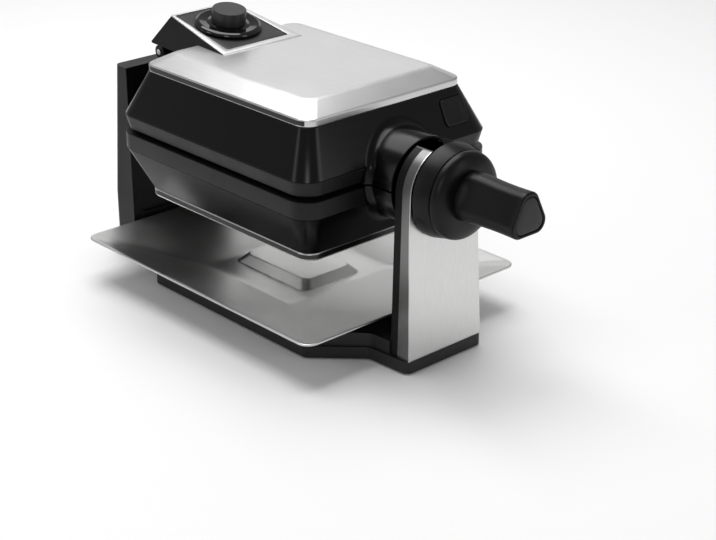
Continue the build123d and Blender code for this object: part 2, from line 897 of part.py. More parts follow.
def terminal_block():
    middle = tower_rear - terminal_back - terminal_width / 2
    block = Pos(terminal_offset, middle, base_top + terminal_height / 2) * Box(
        3 * terminal_pitch, terminal_width, terminal_height
    )
    for number in (-1, 0, 1):
        x = terminal_offset + number * terminal_pitch
        hole_foot = base_top + terminal_height / 3
        block -= post(x, middle, terminal_hole, hole_foot, base_top + terminal_height + 1)
    return block


# ---- Base ----
def base_outline(inset, height):
    """Half-widths and depths of the foot, the 45 degree flare, the body and the tail."""
    flare_end = flare_start + base_half - foot_half_rear
    side = [
        (foot_half, -foot_front),
        (foot_half_rear, -flare_start),
        (base_half, flare_end - 2 * flare_start),
        (base_half, base_side_end),
        (tower_half, base_side_end + base_half - tower_half),
        (tower_half, tower_rear),
    ]
    points = side + [(-x, y) for x, y in reversed(side)]
    face = make_face(Polyline(*points, close=True))
    face = fillet(face.vertices(), base_corner * front_corner_share)
    if inset:
        face = offset(face, -inset, kind=Kind.INTERSECTION)
    return Pos(0, 0, height) * face


screw_half = ((30, -36), (66, 74), (66, unit_depth - 48), (46, unit_depth + 24))
base_screw_places = [(sx * x, y) for x, y in screw_half for sx in (-1, 1)]
pad_half = ((24, -20), (62, 50), (62, unit_depth - 26), (46, unit_depth + 52))
pad_places = [(sx * x, y) for x, y in pad_half for sx in (-1, 1)]


def tier_outline(inset, height):
    """The base above its skirt: it starts behind the post."""
    return base_outline(tier_inset + inset, height)


def base_shell():
    skirt = extrude(base_outline(0, base_lift), skirt_top - base_lift)
    tier = extrude(tier_outline(0, skirt_top), base_top - skirt_top)
    tier -= box(-200, 200, -foot_front - 10, -post_rear, skirt_top, base_top + 1)
    shell = skirt + tier
    cavity = extrude(base_outline(tier_inset + base_wall, base_lift), skirt_top - base_wall - base_lift)
    high = extrude(tier_outline(base_wall, skirt_top - base_wall), base_top - skirt_top)
    high -= box(-200, 200, -foot_front - 10, -post_rear + base_wall, 0, base_top + 1)
    shell -= cavity + high
    floor_top = floor_lift + floor_sheet
    for x, y in base_screw_places:
        ceiling = skirt_top if y < 0 else base_top
        shell += post(x, y, boss_post_radius, floor_top, ceiling - 1)
        shell -= post(x, y, screw_radius + thread_clearance, base_lift, ceiling - base_wall)
    wiring_front = tower_front + recess_depth + tower_wall
    wiring_rear = tower_rear - wiring_margin
    low = base_top - wiring_depth
    return shell - box(-wiring_half, wiring_half, wiring_front, wiring_rear, low, base_top + 1)


def base_bottom_cover():
    cover = extrude(base_outline(tier_inset + base_wall + floor_fit, floor_lift), floor_sheet)
    for x, y in base_screw_places:
        cover -= post(x, y, screw_radius + screw_hole_gap, 0, base_top)
    return cover


def base_screws():
    screws = []
    for x, y in base_screw_places:
        ceiling = skirt_top if y < 0 else base_top
        tip = min(floor_lift + screw_length, ceiling - base_wall - screw_tip_gap)
        head = post(x, y, screw_head_radius, floor_lift - screw_head_height, floor_lift)
        screws.append(head + post(x, y, screw_radius, floor_lift, tip))
    return screws


def rubber_feet():
    return [post(x, y, pad_radius, 0, pad_height + 0.1) for x, y in pad_places]


# ---- Front post ----
def post_front_outline(inset):
    """The post seen from the front: leaning sides up into a round head."""
    radius = boss_radius - inset
    head = rod(0, axis_height, radius, -post_face - post_lean - post_reach, -post_rear)
    foot = post_half_foot - inset
    points = [(-foot, skirt_top), (foot, skirt_top), (radius, axis_height), (-radius, axis_height)]
    return head + front_profile(points, -post_face - post_lean - post_reach, -post_rear)


def post_depths(inset, rear):
    """The post seen from the side: a front that leans back, then stands upright."""
    points = [
        (-post_face - post_lean + inset, skirt_top - 1),
        (-post_face + inset, post_lean_top),
        (-post_face + inset, 400),
        (rear, 400),
        (rear, skirt_top - 1),
    ]
    return side_profile(points, 100)


slot_radius = journal_radius + running_gap


def slot(radius, y0, y1):
    """The open-topped channel that the journal lies in."""
    channel = rod(0, axis_height, radius, y0, y1)
    return channel + box(-radius, radius, y0, y1, axis_height, axis_height + boss_radius + 10)


def front_post_core():
    core = post_front_outline(post_sheet) & post_depths(post_sheet, -post_rear)
    core += post_front_outline(0) & box(-100, 100, -flange_edge, -post_rear, 0, 400)
    core -= slot(slot_radius + liner_wall, -100, 0)
    foot = post_half_foot - post_hollow_side
    top = axis_height - post_hollow_top
    corners = [(-foot, skirt_top), (foot, skirt_top), (post_hollow_half, top), (-post_hollow_half, top)]
    return core - front_profile(corners, -post_face + post_hollow_front, -post_rear - post_hollow_back)


def front_post_cover():
    outer = post_front_outline(0) & post_depths(0, -flange_edge)
    inner = post_front_outline(post_sheet) & post_depths(post_sheet, -flange_edge + 1)
    return outer - inner - slot(slot_radius + liner_wall, -100, 0)


def front_cradle_liner():
    y0 = -post_face
    liner = slot(slot_radius + liner_wall, y0, -post_rear) - slot(slot_radius, y0 - 1, -post_rear + 1)
    return liner & post_front_outline(0)


# ---- Drip tray ----


def tray_face(half_width, y0, y1, corner, height):
    return Pos(0, (y0 + y1) / 2, height) * RectangleRounded(2 * half_width, y1 - y0, corner)


def drip_tray():
    """A shallow folded dish with a hemmed rim and a raised pad in its floor."""
    rim = (tray_half, tray_front, tray_rear, tray_corner)
    floor = (tray_floor_half, tray_floor_front, tray_floor_rear, tray_corner * tray_floor_corner_share)
    rim_under = tray_face(*rim, tray_rim - tray_sheet)
    floor_under = tray_face(*floor, tray_floor - tray_sheet)
    outer = loft([rim_under, floor_under], ruled=True)
    inner = loft([tray_face(*rim, tray_rim), tray_face(*floor, tray_floor)], ruled=True)
    rim_block = extrude(tray_face(*rim, tray_rim - tray_sheet), tray_sheet)
    body = (outer + rim_block) - inner
    hem = extrude(tray_face(*rim, tray_rim - tray_hem_height), tray_hem_height)
    hem_inner = (tray_half - tray_hem, tray_front + tray_hem, tray_rear - tray_hem, tray_corner - tray_hem)
    hem -= extrude(tray_face(*hem_inner, tray_rim - tray_hem_height - 1), tray_hem_height + 2)
    body += hem
    pad = (tray_pad_half, tray_pad_front, tray_pad_rear, tray_pad_corner)
    rise = tray_pad_height
    body += extrude(tray_face(*pad, tray_floor), rise, taper=45)
    under = extrude(tray_face(*pad, tray_floor), rise, taper=45)
    return body - Pos(0, 0, -tray_sheet) * under


# ---- Write every sub-part ----
def upper_housing():
    return housing(upper_band_top, upper_eaves) - button_opening() - Compound(
        children=frame_screws(thread_clearance)
    )


def lower_shell():
    low = 2 * axis_height - lower_band_foot
    return housing(low, low + housing_height)


def shifted_for_lower(shape):
    """A piece of the upper half, turned over and dropped onto the lower half's own heights."""
    drop = lower_band_foot - (2 * axis_height - upper_band_top)
    return Pos(0, 0, drop) * mirrored(shape)


upper_band = band_ring(upper_band_foot, band_taper, upper_band_top, 0)
lower_band = prism(0, lower_band_foot, lower_band_top) - prism(band_wall, 0, 400, unit_corner / 2)
screw_group = Compound(children=frame_screws(thread_clearance))

save("base_shell", base_shell())
save("base_bottom_cover", base_bottom_cover())
save("base_screws", Compound(children=base_screws()))
save("rubber_feet", Compound(children=rubber_feet()))
save("front_post_core", front_post_core())
save("front_post_cover", front_post_cover())
save("front_cradle_liner", front_cradle_liner())
save("rear_tower_shell", rear_tower_shell())
save("rear_tower_cover", rear_tower_cover())
save("rear_bearing_bush", rear_bearing_bush())
save("rotation_stop_pin", stop_pin())
save("cord_gland", cord_gland())
save("terminal_block", terminal_block())
save("drip_tray", drip_tray())

save("upper_band", upper_band - screw_group)
save("upper_housing", upper_housing())
save("upper_cover", upper_cover())
save("upper_plate_carrier", plate_carrier())
save("upper_heater", heater())
save("upper_reflector", reflector())
save("upper_thermostat", thermostat())
save("upper_waffle_plate", waffle_plate())
save("upper_frame_screws", Compound(children=frame_screws()))
save("upper_release_button", release_button())
save("upper_trunnion", upper_trunnion())
save("control_box", control_box())
save("control_panel", control_panel())
save("control_board", control_board())
save("temperature_control", temperature_control())
save("lid_hinge_bracket", lid_hinge_bracket())
save("handle_hub", handle_hub())
save("handle_grip", handle_grip())
save("handle_end_cap", handle_end_cap())
save("handle_bolt", handle_bolt())
save("control_knob", knob())
save("knob_skirt", knob_skirt())
save("control_shaft", control_shaft())

save("lower_band", lower_band - shifted_for_lower(screw_group))
lower_holes = shifted_for_lower(button_opening()) + shifted_for_lower(screw_group)
save("lower_housing", mirrored(lower_shell()) - lower_holes)
save("lower_cover", Pos(0, 0, lower_eaves - (2 * axis_height - upper_eaves)) * mirrored(shelled_cover()))
save("lower_plate_carrier", mirrored(plate_carrier()))
save("lower_heater", mirrored(heater()))
save("lower_reflector", mirrored(reflector()))
save("lower_thermostat", mirrored(thermostat()))
save("lower_waffle_plate", mirrored(waffle_plate()))
save("lower_frame_screws", shifted_for_lower(Compound(children=frame_screws())))
save("lower_release_button", shifted_for_lower(release_button()))
save("lower_trunnion", lower_trunnion())
save("rear_hinge_carrier", rear_hinge_carrier())
save("hinge_pin", hinge_pin())
save("journal_retainer", journal_retainer())
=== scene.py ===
import bpy
import bmesh
import json
from math import atan2, cos, pi, radians, sin, tan
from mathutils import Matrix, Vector


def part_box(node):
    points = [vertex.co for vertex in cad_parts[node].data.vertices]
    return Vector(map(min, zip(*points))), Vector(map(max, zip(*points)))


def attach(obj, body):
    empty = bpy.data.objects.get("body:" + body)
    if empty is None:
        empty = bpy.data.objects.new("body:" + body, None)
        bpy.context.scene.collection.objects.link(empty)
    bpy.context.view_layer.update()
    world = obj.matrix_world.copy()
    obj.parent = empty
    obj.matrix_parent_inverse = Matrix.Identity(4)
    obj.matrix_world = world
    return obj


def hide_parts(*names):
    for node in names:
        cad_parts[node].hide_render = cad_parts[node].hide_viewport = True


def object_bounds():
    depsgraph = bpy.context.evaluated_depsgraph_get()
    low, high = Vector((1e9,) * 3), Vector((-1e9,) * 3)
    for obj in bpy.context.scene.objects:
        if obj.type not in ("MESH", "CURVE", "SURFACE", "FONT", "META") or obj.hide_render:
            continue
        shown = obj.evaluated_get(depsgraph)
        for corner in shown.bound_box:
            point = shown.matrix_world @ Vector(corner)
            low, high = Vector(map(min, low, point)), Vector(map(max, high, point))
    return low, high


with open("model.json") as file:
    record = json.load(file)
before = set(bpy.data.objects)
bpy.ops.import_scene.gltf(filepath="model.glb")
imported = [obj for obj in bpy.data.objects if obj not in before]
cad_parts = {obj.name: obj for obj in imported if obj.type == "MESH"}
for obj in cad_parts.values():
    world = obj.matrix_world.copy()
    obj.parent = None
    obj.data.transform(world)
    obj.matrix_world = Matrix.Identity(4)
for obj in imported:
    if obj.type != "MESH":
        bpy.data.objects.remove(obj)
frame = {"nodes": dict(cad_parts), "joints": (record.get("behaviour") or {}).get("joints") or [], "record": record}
cad_low, cad_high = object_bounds()
nodes = frame["nodes"]
joints = {joint["name"]: joint for joint in frame["joints"]}
MM = 0.001

# ---- Places from the frame ----
band_low, band_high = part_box("upper_band")
under_band_low, under_band_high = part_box("lower_band")
house_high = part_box("upper_housing")[1]
under_house_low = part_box("lower_housing")[0]
cover_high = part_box("upper_cover")[1]
under_cover_low, under_cover_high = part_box("lower_cover")
tray_low, tray_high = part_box("drip_tray")
hub_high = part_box("handle_hub")[1]
box_low, box_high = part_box("control_box")

half_width = band_high.x
unit_front, unit_rear = band_low.y, band_high.y
unit_corner = 18 * MM
house_inset = half_width - under_cover_high.x
cover_height = under_cover_high.z - under_cover_low.z
lid_top = house_high.z + cover_height
axis_z = Vector(joints["unit_turn"]["pos_m"]).z
lid_corner = 12 * MM

slope_up = Vector(joints["knob_turn"]["axis"]).normalized()
knob_foot = Vector(joints["knob_turn"]["pos_m"])
slope = atan2(-slope_up.y, slope_up.z)
frame_rise = 1.0 * MM
border_front = knob_foot.y - (knob_foot.z - lid_top - frame_rise) / tan(slope)
border_rear = cover_high.y
border_half = 41.5 * MM
side_taper, side_lean = 0.07, 0.24
slope_along = Vector((0, cos(slope), sin(slope)))


# ---- Mesh helpers ----
def finish_mesh(name, verts, faces, material, body, replaced=(), sharp=32):
    """A smooth-shaded piece with creases at sharp angles, riding on a body."""
    mesh = bpy.data.meshes.new(name)
    mesh.from_pydata([tuple(v) for v in verts], [], faces)
    bm = bmesh.new()
    bm.from_mesh(mesh)
    bmesh.ops.remove_doubles(bm, verts=bm.verts, dist=0.002 * MM)
    bmesh.ops.recalc_face_normals(bm, faces=bm.faces)
    bm.to_mesh(mesh)
    bm.free()
    mesh.shade_smooth()
    mesh.set_sharp_from_angle(angle=radians(sharp))
    piece = bpy.data.objects.new(name, mesh)
    bpy.context.scene.collection.objects.link(piece)
    mesh.materials.append(material)
    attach(piece, body)
    if replaced:
        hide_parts(*replaced)
    return piece


def ring(x0, x1, y0, y1, z, radius, steps=10):
    """A rounded rectangle, counter-clockwise, as a list of points."""
    radius = max(min(radius, (x1 - x0) / 2 - 1e-5, (y1 - y0) / 2 - 1e-5), 1e-5)
    points = []
    centres = ((x1 - radius, y1 - radius, 0), (x0 + radius, y1 - radius, 90),
               (x0 + radius, y0 + radius, 180), (x1 - radius, y0 + radius, 270))
    for cx, cy, start in centres:
        for step in range(steps + 1):
            angle = radians(start + 90 * step / steps)
            points.append(Vector((cx + radius * cos(angle), cy + radius * sin(angle), z)))
    return points


def unit_ring(inset, z, corner=unit_corner):
    """A ring on the cooking unit's outline, drawn in by inset, at a height."""
    return ring(-half_width + inset, half_width - inset, unit_front + inset, unit_rear - inset, z, corner)


def stack(rings, wrap=False, cap_start=False, cap_end=False):
    """Quads between rings that all have the same number of points."""
    count = len(rings[0])
    verts = [point for loop in rings for point in loop]
    faces = []
    pairs = len(rings) if wrap else len(rings) - 1
    for level in range(pairs):
        a = level * count
        b = ((level + 1) % len(rings)) * count
        for k in range(count):
            n = (k + 1) % count
            faces.append((a + k, a + n, b + n, b + k))
    if cap_start:
        faces.append(tuple(range(count))[::-1])
    if cap_end:
        faces.append(tuple(range((len(rings) - 1) * count, len(rings) * count)))
    return verts, faces


def eased(points, radius, steps=5):
    """A polyline of same-length tuples, its inner corners rounded by one radius or one per point."""
    out = [points[0]]
    for index in range(1, len(points) - 1):
        before, here, after = (Vector(points[index + k]) for k in (-1, 0, 1))
        size = radius[index] if isinstance(radius, (list, tuple)) else radius
        if size <= 0:
            out.append(points[index])
            continue
        to_before, to_after = before - here, after - here
        reach = min(size, to_before.length * 0.48, to_after.length * 0.48)
        start = here + to_before.normalized() * reach
        end = here + to_after.normalized() * reach
        for step in range(steps + 1):
            t = step / steps
            out.append(tuple(start * (1 - t) ** 2 + here * 2 * t * (1 - t) + end * t * t))
    out.append(points[-1])
    return out


def baked(piece):
    """Applies the piece's modifiers to its mesh."""
    graph = bpy.context.evaluated_depsgraph_get()
    mesh = bpy.data.meshes.new_from_object(piece.evaluated_get(graph))
    piece.modifiers.clear()
    old = piece.data
    piece.data = mesh
    bpy.data.meshes.remove(old)
    return piece


def carve(piece, cutter_verts, cutter_faces, sharp=32):
    """Cuts a closed shape out of a piece."""
    mesh = bpy.data.meshes.new("cutter")
    mesh.from_pydata([tuple(v) for v in cutter_verts], [], cutter_faces)
    bm = bmesh.new()
    bm.from_mesh(mesh)
    bmesh.ops.recalc_face_normals(bm, faces=bm.faces)
    bm.to_mesh(mesh)
    bm.free()
    cutter = bpy.data.objects.new("cutter", mesh)
    bpy.context.scene.collection.objects.link(cutter)
    cut = piece.modifiers.new("cut", "BOOLEAN")
    cut.operation = "DIFFERENCE"
    cut.solver = "EXACT"
    cut.object = cutter
    bpy.context.view_layer.update()
    baked(piece)
    bpy.data.objects.remove(cutter)
    bpy.data.meshes.remove(mesh)
    piece.data.shade_smooth()
    piece.data.set_sharp_from_angle(angle=radians(sharp))
    return piece


def softened(piece, width, segments=3, angle=30):
    """Rounds a piece's hard edges with a bevel."""
    bevel = piece.modifiers.new("edge_round", "BEVEL")
    bevel.width = width
    bevel.segments = segments
    bevel.limit_method = "ANGLE"
    bevel.angle_limit = radians(angle)
    bevel.harden_normals = False
    normals = piece.modifiers.new("face_normals", "WEIGHTED_NORMAL")
    normals.keep_sharp = False
    return piece


def lathe(origin, x_dir, up, profile, start=0, end=360, steps=96):
    """Points and faces of a profile of (radius, height) pairs turned round the up axis."""
    up = up.normalized()
    x_dir = x_dir.normalized()
    y_dir = up.cross(x_dir)
    whole = abs(end - start - 360) < 1e-6
    columns = steps if whole else steps + 1
    verts, faces = [], []
    for radius, height in profile:
        for k in range(columns):
            angle = radians(start + (end - start) * k / steps)
            verts.append(origin + up * height + x_dir * radius * cos(angle) + y_dir * radius * sin(angle))
    for level in range(len(profile) - 1):
        for k in range(columns if whole else columns - 1):
            n = (k + 1) % columns
            a, b = level * columns, (level + 1) * columns
            faces.append((a + k, a + n, b + n, b + k))
    return verts, faces, columns


# ---- Materials ----
def material(name, base, rough, metallic=0.0, **sockets):
    """A principled material with its constants on the shader's own sockets."""
    made = bpy.data.materials.new(name)
    made.use_nodes = True
    shader = made.node_tree.nodes["Principled BSDF"]
    shader.inputs["Base Color"].default_value = (*base, 1)
    shader.inputs["Roughness"].default_value = rough
    shader.inputs["Metallic"].default_value = metallic
    for socket, value in sockets.items():
        shader.inputs[socket.replace("_", " ")].default_value = value
    return made


def add(made, kind, **settings):
    node = made.node_tree.nodes.new(kind)
    for key, value in settings.items():
        setattr(node, key, value)
    return node


def coordinates(made, scale):
    """Object coordinates in metres, stretched by scale."""
    source = add(made, "ShaderNodeTexCoord")
    mapping = add(made, "ShaderNodeMapping")
    mapping.inputs["Scale"].default_value = scale
    made.node_tree.links.new(source.outputs["Object"], mapping.inputs["Vector"])
    return mapping.outputs["Vector"]


def noise(made, scale, detail=3.0, rough=0.55):
    texture = add(made, "ShaderNodeTexNoise")
    texture.inputs["Scale"].default_value = 1.0
    texture.inputs["Detail"].default_value = detail
    texture.inputs["Roughness"].default_value = rough
    made.node_tree.links.new(coordinates(made, scale), texture.inputs["Vector"])
    return texture.outputs["Fac"]


def spread(made, source, low, high):
    """Maps a 0 to 1 value onto low to high."""
    remap = add(made, "ShaderNodeMapRange")
    remap.inputs["From Min"].default_value = 0.3
    remap.inputs["From Max"].default_value = 0.7
    remap.inputs["To Min"].default_value = low
    remap.inputs["To Max"].default_value = high
    made.node_tree.links.new(source, remap.inputs["Value"])
    return remap.outputs["Result"]


def tint(made, source, dark, light):
    """Varies the base colour between two colours."""
    ramp = add(made, "ShaderNodeValToRGB")
    ramp.color_ramp.elements[0].position = 0.3
    ramp.color_ramp.elements[0].color = (*dark, 1)
    ramp.color_ramp.elements[1].position = 0.7
    ramp.color_ramp.elements[1].color = (*light, 1)
    made.node_tree.links.new(source, ramp.inputs["Fac"])
    shader = made.node_tree.nodes["Principled BSDF"]
    made.node_tree.links.new(ramp.outputs["Color"], shader.inputs["Base Color"])


def bump(made, source, height, strength=1.0):
    node = add(made, "ShaderNodeBump")
    node.inputs["Distance"].default_value = height
    node.inputs["Strength"].default_value = strength
    made.node_tree.links.new(source, node.inputs["Height"])
    shader = made.node_tree.nodes["Principled BSDF"]
    made.node_tree.links.new(node.outputs["Normal"], shader.inputs["Normal"])


def rough_from(made, source, low, high):
    shader = made.node_tree.nodes["Principled BSDF"]
    made.node_tree.links.new(spread(made, source, low, high), shader.inputs["Roughness"])


def shade(colour, share):
    return tuple(channel * share for channel in colour)


def moulded(name, base, rough, grain=2400.0, depth=0.03 * MM, **sockets):
    """Moulded plastic: a fine spark-eroded grain with slight colour and gloss variation."""
    made = material(name, base, rough, 0.0, **sockets)
    fine = noise(made, (grain, grain, grain), 2.0)
    broad = noise(made, (35, 35, 35), 3.0)
    tint(made, fine, shade(base, 0.8), shade(base, 1.25))
    rough_from(made, broad, rough - 0.05, rough + 0.05)
    bump(made, fine, depth)
    return made


def glossy(name, base, rough=0.06, wear=0.3, **sockets):
    """Polished black plastic with faint moulding waves and fine wipe marks."""
    made = material(name, base, rough, 0.0, **sockets)
    wave = noise(made, (9, 9, 9), 1.0)
    dust = noise(made, (420, 420, 90), 4.0)
    tint(made, dust, shade(base, 0.9), shade(base, 1.3))
    rough_from(made, dust, rough * (1 - 0.6 * wear), rough * (1 + wear))
    bump(made, wave, 0.12 * MM, 0.25)
    return made


def brushed(name, base, rough, lines, depth=0.004 * MM, **sockets):
    """Satin steel: fine parallel brush lines, stretched along the short axis of lines."""
    made = material(name, base, rough, 1.0, **sockets)
    grain = noise(made, lines, 3.0, 0.6)
    cloud = noise(made, (14, 14, 14), 2.0)
    tint(made, grain, shade(base, 0.93), shade(base, 1.04))
    rough_from(made, cloud, rough - 0.03, rough + 0.04)
    bump(made, grain, depth, 0.6)
    return made


steel_lid = brushed("lid_steel", (0.70, 0.70, 0.698), 0.36, (2600, 30, 2600))
# A dark copy of the lid steel: a painted dark reflection on the covers' upright lips.
painted_lip_reflection = brushed("lid_lip_painted_reflection", (0.045, 0.045, 0.045), 0.30, (60, 60, 3000))
steel_post = brushed("post_steel", (0.70, 0.70, 0.695), 0.34, (3000, 3000, 25))
steel_tray = brushed("tray_steel", (0.66, 0.66, 0.655), 0.30, (2600, 40, 2600))
gloss_black = glossy("housing_gloss", (0.0008, 0.0008, 0.0009), 0.20, 0.1, Specular_IOR_Level=0.3)
gloss_under = glossy("housing_gloss_under", (0.0008, 0.0008, 0.0009), 0.22, 0.1, Specular_IOR_Level=0.08)
gloss_boss = glossy("trunnion_gloss", (0.0010, 0.0010, 0.0011), 0.22, 0.05, Specular_IOR_Level=0.2)
gloss_skirt = glossy("skirt_gloss", (0.003, 0.003, 0.003), 0.06)
band_black = moulded("band_plastic", (0.005, 0.005, 0.0052), 0.40, 1700.0, 0.06 * MM, Specular_IOR_Level=0.26)
base_black = moulded("base_plastic", (0.008, 0.008, 0.0083), 0.45, 2200.0, 0.04 * MM, Specular_IOR_Level=0.4)
soft_black = moulded("handle_plastic", (0.0022, 0.0022, 0.0023), 0.36, 3000.0, 0.02 * MM,
                     Specular_IOR_Level=0.22)
cap_black = moulded("cap_plastic", (0.010, 0.010, 0.0104), 0.5, 3000.0, 0.02 * MM, Specular_IOR_Level=0.4)
box_black = moulded("box_plastic", (0.005, 0.005, 0.0052), 0.42, 2600.0, 0.02 * MM, Specular_IOR_Level=0.22)
panel_grey = moulded("panel_plastic", (0.020, 0.020, 0.021), 0.5, 2200.0, 0.05 * MM, Specular_IOR_Level=0.3)
knob_grey = moulded("knob_plastic", (0.020, 0.020, 0.021), 0.36, 3200.0, 0.015 * MM, Specular_IOR_Level=0.4)
button_black = moulded("button_plastic", (0.004, 0.004, 0.0042), 0.32, 2600.0, 0.03 * MM,
                       Specular_IOR_Level=0.28)
post_black = moulded("post_plastic", (0.003, 0.003, 0.0031), 0.45, 2200.0, 0.04 * MM, Specular_IOR_Level=0.2)
tower_black = moulded("tower_plastic", (0.004, 0.004, 0.0042), 0.42, 2200.0, 0.03 * MM,
                      Specular_IOR_Level=0.22)
floor_black = moulded("floor_plastic", (0.018, 0.018, 0.019), 0.6, 1600.0, 0.05 * MM)
rubber_black = moulded("foot_rubber", (0.02, 0.02, 0.02), 0.8, 1200.0, 0.08 * MM)
nylon_dark = moulded("bearing_plastic", (0.045, 0.045, 0.045), 0.45, 2600.0, 0.02 * MM)
coating = moulded("plate_coating", (0.022, 0.021, 0.021), 0.36, 1500.0, 0.05 * MM)
plain_steel = brushed("pin_steel", (0.6, 0.6, 0.6), 0.3, (900, 900, 900))
bright_sheet = brushed("reflector_aluminium", (0.8, 0.8, 0.8), 0.25, (40, 2000, 2000))
heater_metal = brushed("heater_steel", (0.28, 0.26, 0.24), 0.5, (1200, 1200, 1200))
brass = brushed("bush_brass", (0.72, 0.52, 0.22), 0.3, (60, 2000, 60))
cream = moulded("terminal_plastic", (0.7, 0.67, 0.6), 0.5)
board_green = moulded("board_resin", (0.03, 0.12, 0.05), 0.35, 900.0, 0.05 * MM)

by_slot = {
    "base_plastic": base_black, "floor_plastic": floor_black, "screw_steel": plain_steel,
    "foot_rubber": rubber_black, "post_plastic": post_black, "post_steel": steel_post,
    "bearing_plastic": nylon_dark, "tower_plastic": tower_black, "tower_panel_plastic": tower_black,
    "bush_brass": brass, "pin_steel": plain_steel, "gland_rubber": rubber_black,
    "terminal_plastic": cream, "tray_steel": steel_tray, "band_plastic": band_black,
    "housing_gloss": gloss_black, "cover_steel": steel_lid, "carrier_steel": bright_sheet,
    "heater_steel": heater_metal, "reflector_aluminium": bright_sheet, "thermostat_steel": plain_steel,
    "plate_coating": coating, "trunnion_gloss": gloss_boss, "hinge_black": box_black,
    "button_plastic": button_black, "box_plastic": box_black, "panel_plastic": panel_grey,
    "board_resin": board_green, "switch_plastic": nylon_dark, "handle_plastic": soft_black,
    "cap_plastic": cap_black, "knob_plastic": knob_grey, "skirt_gloss": gloss_skirt,
}
for part in frame["record"]["subparts"]:
    node = nodes[part["node"]]
    node.data.materials.clear()
    node.data.materials.append(by_slot[part["material_slot"]])


def painted_shade_behind(made, node, depth, share):
    """Paints shade into a steel: darkens the base colour, by share, of whatever lies farther back than depth
    behind the node's leaning front.
    """
    points = [vertex.co for vertex in node.data.vertices]
    low = min(points, key=lambda p: p.y)
    top = max(p.z for p in points)
    top_front = min(p.y for p in points if p.z > top - 2 * MM)
    knee = min((p for p in points if abs(p.y - top_front) < 0.05 * MM), key=lambda p: p.z)
    slope = (knee.y - low.y) / (knee.z - low.z)
    front = low.y - slope * low.z
    source = add(made, "ShaderNodeTexCoord")
    parts = add(made, "ShaderNodeSeparateXYZ")
    lean = add(made, "ShaderNodeMath", operation="MULTIPLY")
    lean.inputs[1].default_value = slope
    limit = add(made, "ShaderNodeMath", operation="MINIMUM")
    limit.inputs[1].default_value = slope * knee.z
    behind = add(made, "ShaderNodeMath", operation="SUBTRACT")
    made.node_tree.links.new(source.outputs["Object"], parts.inputs["Vector"])
    made.node_tree.links.new(parts.outputs["Z"], lean.inputs[0])
    made.node_tree.links.new(lean.outputs["Value"], limit.inputs[0])
    made.node_tree.links.new(parts.outputs["Y"], behind.inputs[0])
    made.node_tree.links.new(limit.outputs["Value"], behind.inputs[1])
    ramp = add(made, "ShaderNodeMapRange")
    ramp.inputs["From Min"].default_value = front + depth
    ramp.inputs["From Max"].default_value = front + depth + 0.4 * MM
    ramp.inputs["To Min"].default_value = 1.0
    ramp.inputs["To Max"].default_value = share
    made.node_tree.links.new(behind.outputs["Value"], ramp.inputs["Value"])
    shader = made.node_tree.nodes["Principled BSDF"]
    colour = shader.inputs["Base Color"].links[0].from_socket
    mix = add(made, "ShaderNodeVectorMath", operation="SCALE")
    made.node_tree.links.new(colour, mix.inputs[0])
    made.node_tree.links.new(ramp.outputs["Result"], mix.inputs["Scale"])
    made.node_tree.links.new(mix.outputs["Vector"], shader.inputs["Base Color"])


# Painted shade: the post cover's side flanges behind its front face get a darker steel colour.
painted_shade_behind(steel_post, nodes["front_post_cover"], 0.6 * MM, 0.3)


def tidied(name, width, segments=2):
    """A CAD piece with flat faces joined up and its edges slightly rounded."""
    node = nodes[name]
    flat = node.modifiers.new("flat_faces", "DECIMATE")
    flat.decimate_type = "DISSOLVE"
    flat.angle_limit = radians(0.6)
    softened(node, width, segments, 28)


for name, width in (("front_post_core", 0.6), ("front_post_cover", 0.35), ("rear_tower_shell", 1.2),
                    ("rear_tower_cover", 0.5), ("base_shell", 0.8), ("rear_hinge_carrier", 0.8),
                    ("lid_hinge_bracket", 0.6)):
    tidied(name, width * MM)


# ---- Cooking unit ----
edge = 0.7 * MM


def unit_shell(name, outer, inner, made, body, replaced):
    """A closed ring-shaped piece from an outer and an inner run of (inset, z, corner)."""
    rings = [unit_ring(inset, z, corner) for inset, z, corner in outer + inner]
    verts, faces = stack(rings, wrap=True)
    return finish_mesh(name, verts, faces, made, body, replaced)


def band(name, low, high, low_inset, body, node):
    """A grained plastic belt with rounded edges."""
    wall = 11.5 * MM
    run = eased([(wall - 2 * MM, low, 9 * MM), (low_inset, low, unit_corner), (0, high, unit_corner),
                 (wall - 2 * MM, high, 9 * MM)], edge)
    inner = [(wall, high, 9 * MM), (wall, low, 9 * MM)]
    return unit_shell(name, run, inner, band_black, body, (node,))


band("upper_belt", band_low.z, band_high.z, 2.5 * MM, "lid", "upper_band")
band("lower_belt", under_band_high.z, under_band_low.z, 0.0, "lower_unit", "lower_band")


def housing(name, wide_z, narrow_z, made, body, node):
    """A gloss shell whose walls lean in towards the steel cover."""
    wall = 2.6 * MM
    way = 1 if narrow_z > wide_z else -1
    wide_z = wide_z + way * 0.15 * MM
    run = eased([(wall, wide_z, unit_corner), (0.25 * MM, wide_z, unit_corner),
                 (house_inset + 0.1 * MM, narrow_z, lid_corner), (house_inset + wall, narrow_z, lid_corner)],
                [0, edge, edge, 0])
    inner = [(house_inset + wall, narrow_z - way * 1.5 * MM, lid_corner),
             (wall, wide_z + way * 1.5 * MM, unit_corner)]
    return unit_shell(name, run, inner, made, body, (node,))


def button_frame(node):
    """A place on the leaning wall: the button's middle, its outward direction and its up direction."""
    low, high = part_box(node)
    middle_x = (low.x + high.x) / 2
    upper = low.z > axis_z
    wide, narrow = (band_high.z, house_high.z) if upper else (under_band_low.z, under_house_low.z)
    lean = atan2(house_inset, abs(narrow - wide))
    sign = 1 if upper else -1
    outward = Vector((0, -cos(lean), sign * sin(lean)))
    up = Vector((0, sin(lean), sign * cos(lean)))
    edge_point = Vector((middle_x, unit_front + house_inset, narrow))
    return edge_point - up * 18.5 * MM, outward, up


